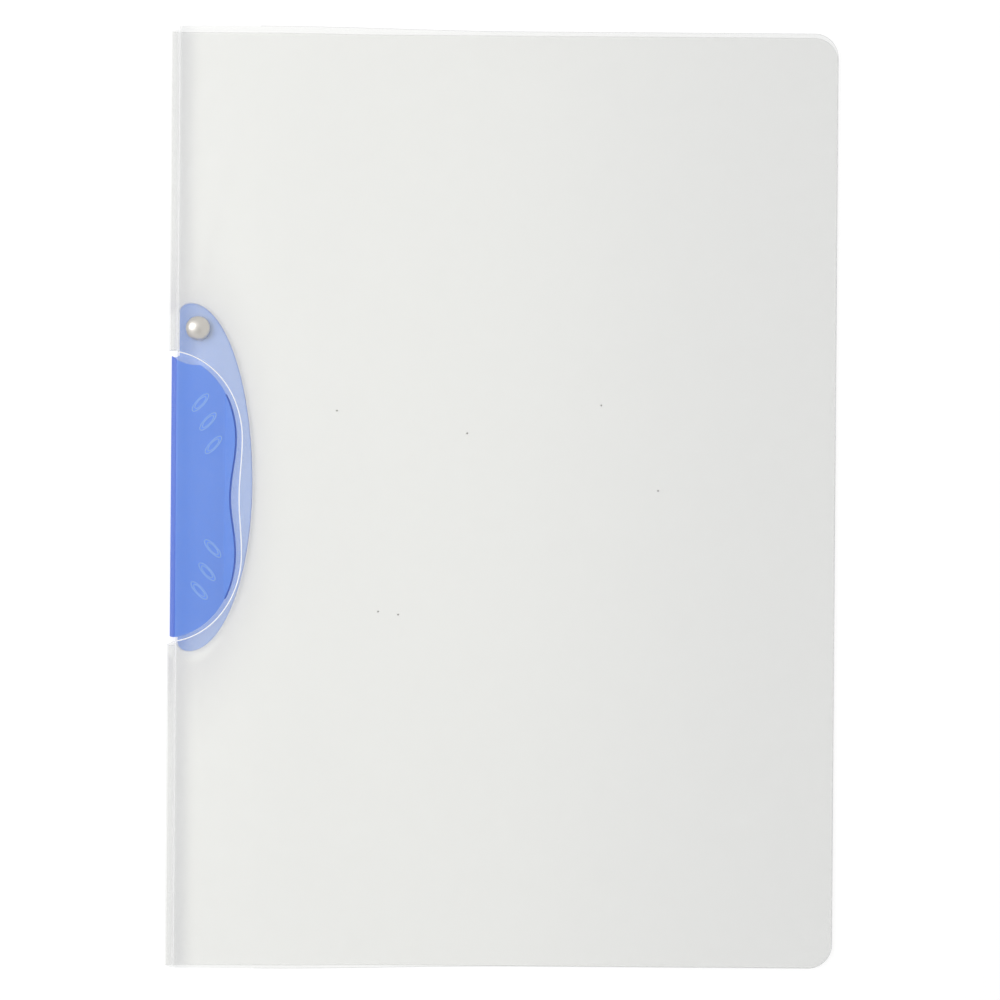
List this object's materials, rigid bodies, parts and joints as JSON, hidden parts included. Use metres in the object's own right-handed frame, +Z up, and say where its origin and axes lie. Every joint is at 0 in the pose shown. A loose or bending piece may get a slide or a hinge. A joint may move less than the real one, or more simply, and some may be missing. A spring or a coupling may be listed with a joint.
{
  "type": "clip folder",
  "caption": "A4 folder of translucent film whose plastic clip swings out on a rivet to take loose sheets, then closes over the spine to grip them.",
  "frame": {"origin": "bottom centre of the closed folder's box, on the desk it lies on", "axes": "+X from the spine to the fore edge, +Y up the page, +Z up off the desk, out of the front cover"},
  "size_m": [0.221, 0.31, 0.0071],
  "materials": {
    "film": "frosted translucent polypropylene film",
    "clip": "satin translucent blue plastic",
    "rivet": "satin nickel plate"
  },
  "bodies": {
    "back": {"back_cover": "film", "rivet_cap": "rivet", "rivet_post": "rivet"},
    "clip": {"swing_clip": "clip"},
    "cover": {"front_cover": "film"}
  },
  "joints": [
    {"name": "clip_swing", "type": "hinge", "parent": "back", "child": "clip", "pos_m": [-0.101, 0.0557, 0], "axis": [0, 0, -1], "range_deg": [0, 85]},
    {"name": "cover_open", "type": "hinge", "parent": "back", "child": "cover", "pos_m": [-0.10697, 0, 0.0071], "axis": [0, -1, 0], "range_deg": [0, 180]}
  ]
}
